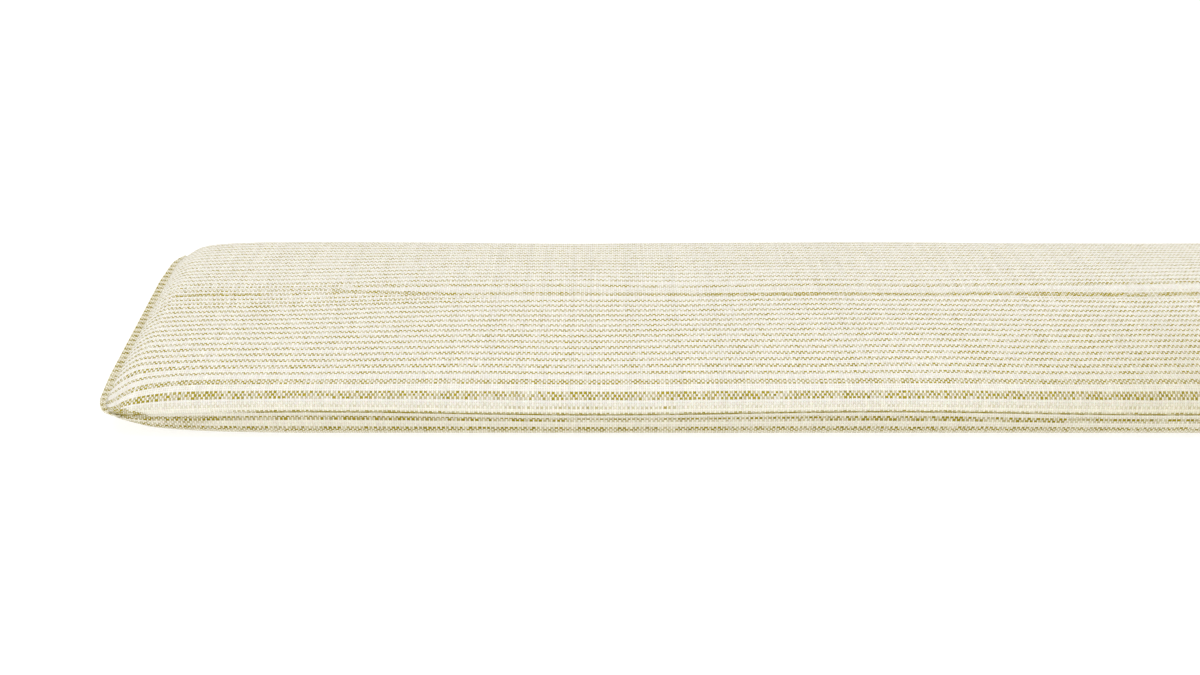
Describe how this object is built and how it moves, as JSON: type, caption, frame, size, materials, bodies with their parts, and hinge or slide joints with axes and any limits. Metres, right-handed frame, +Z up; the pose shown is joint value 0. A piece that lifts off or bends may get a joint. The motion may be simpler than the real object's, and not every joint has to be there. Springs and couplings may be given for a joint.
{
  "type": "bench cushion",
  "caption": "Long flat bench cushion of striped woven cloth with a seam at mid height and a folded strip sewn along each short end.",
  "frame": {"origin": "centre of the underside, on the surface the cushion lies on", "axes": "+X along the length towards the right end, +Y from the front long side to the back one, +Z up"},
  "size_m": [1.321, 0.3838, 0.0604],
  "materials": {
    "panel_cloth": "matte plain weave, ivory with olive stripes along the length",
    "strip_cloth": "the same cloth folded double, stripes running across the strip"
  },
  "bodies": {
    "root": {"cushion": "panel_cloth", "end_strip_left": "strip_cloth", "end_strip_right": "strip_cloth"}
  },
  "joints": []
}
